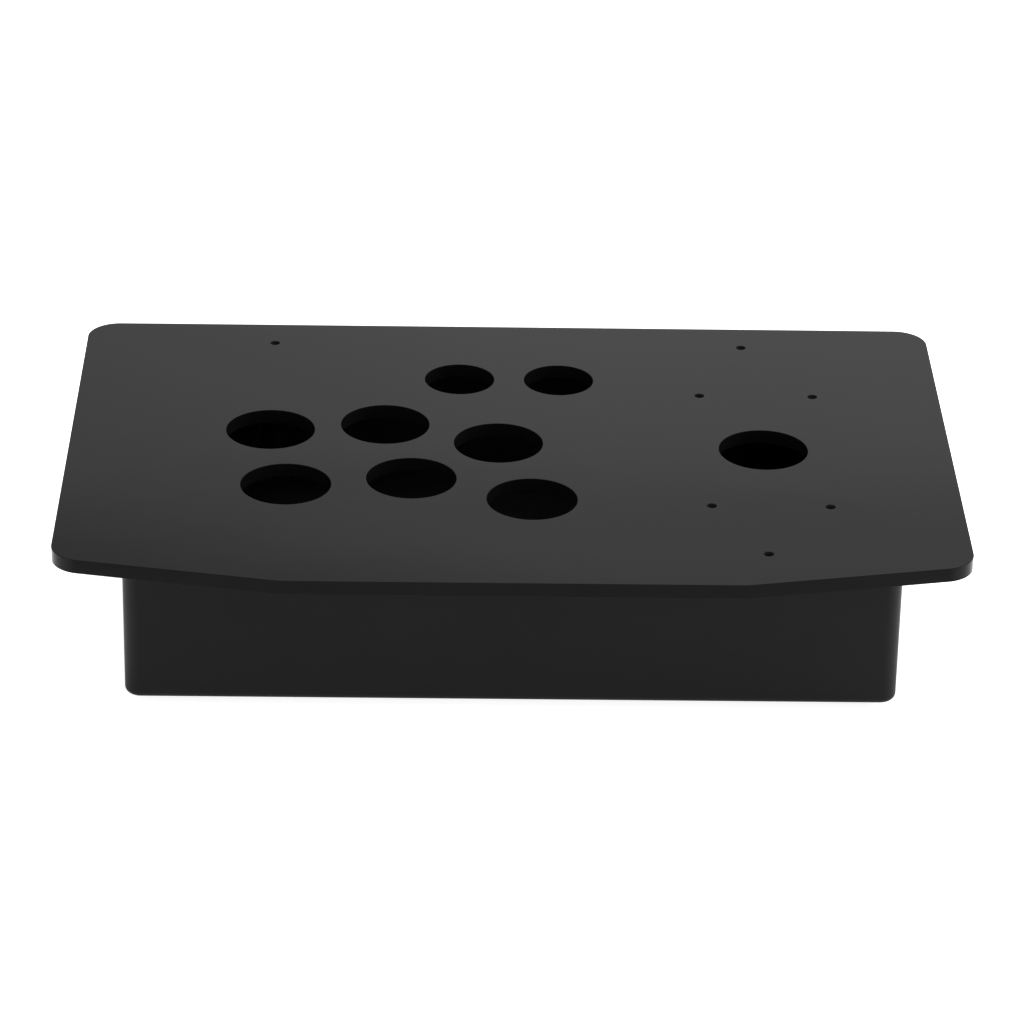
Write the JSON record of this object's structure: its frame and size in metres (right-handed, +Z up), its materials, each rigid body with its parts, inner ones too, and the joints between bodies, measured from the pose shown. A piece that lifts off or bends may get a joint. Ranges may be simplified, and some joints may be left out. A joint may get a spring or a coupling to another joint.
{
  "type": "arcade joystick panel",
  "caption": "Shallow black moulded case with a loose acrylic control panel lying on it, drilled for a joystick and push buttons; nothing is fitted.",
  "frame": {"origin": "on the floor under the middle of the top panel's outline", "axes": "+X along the panel to the player's right, +Y away from the player towards the lead outlet, +Z up"},
  "size_m": [0.2964, 0.1952, 0.0546],
  "materials": {
    "panel_acrylic": "satin black acrylic sheet with laser-cut edges",
    "case_plastic": "smooth satin black moulded ABS",
    "foot_rubber": "matt black rubber",
    "grommet_rubber": "matt black rubber"
  },
  "bodies": {
    "case": {"case_box": "case_plastic", "foot_front_left": "foot_rubber", "foot_front_right": "foot_rubber", "foot_rear_left": "foot_rubber", "foot_rear_right": "foot_rubber", "lead_grommet": "grommet_rubber"},
    "panel": {"top_panel": "panel_acrylic"}
  },
  "joints": [
    {"name": "panel_lift", "type": "slide", "parent": "case", "child": "panel", "axis": [0, 0, 1], "range_m": [0, 0.08]}
  ]
}
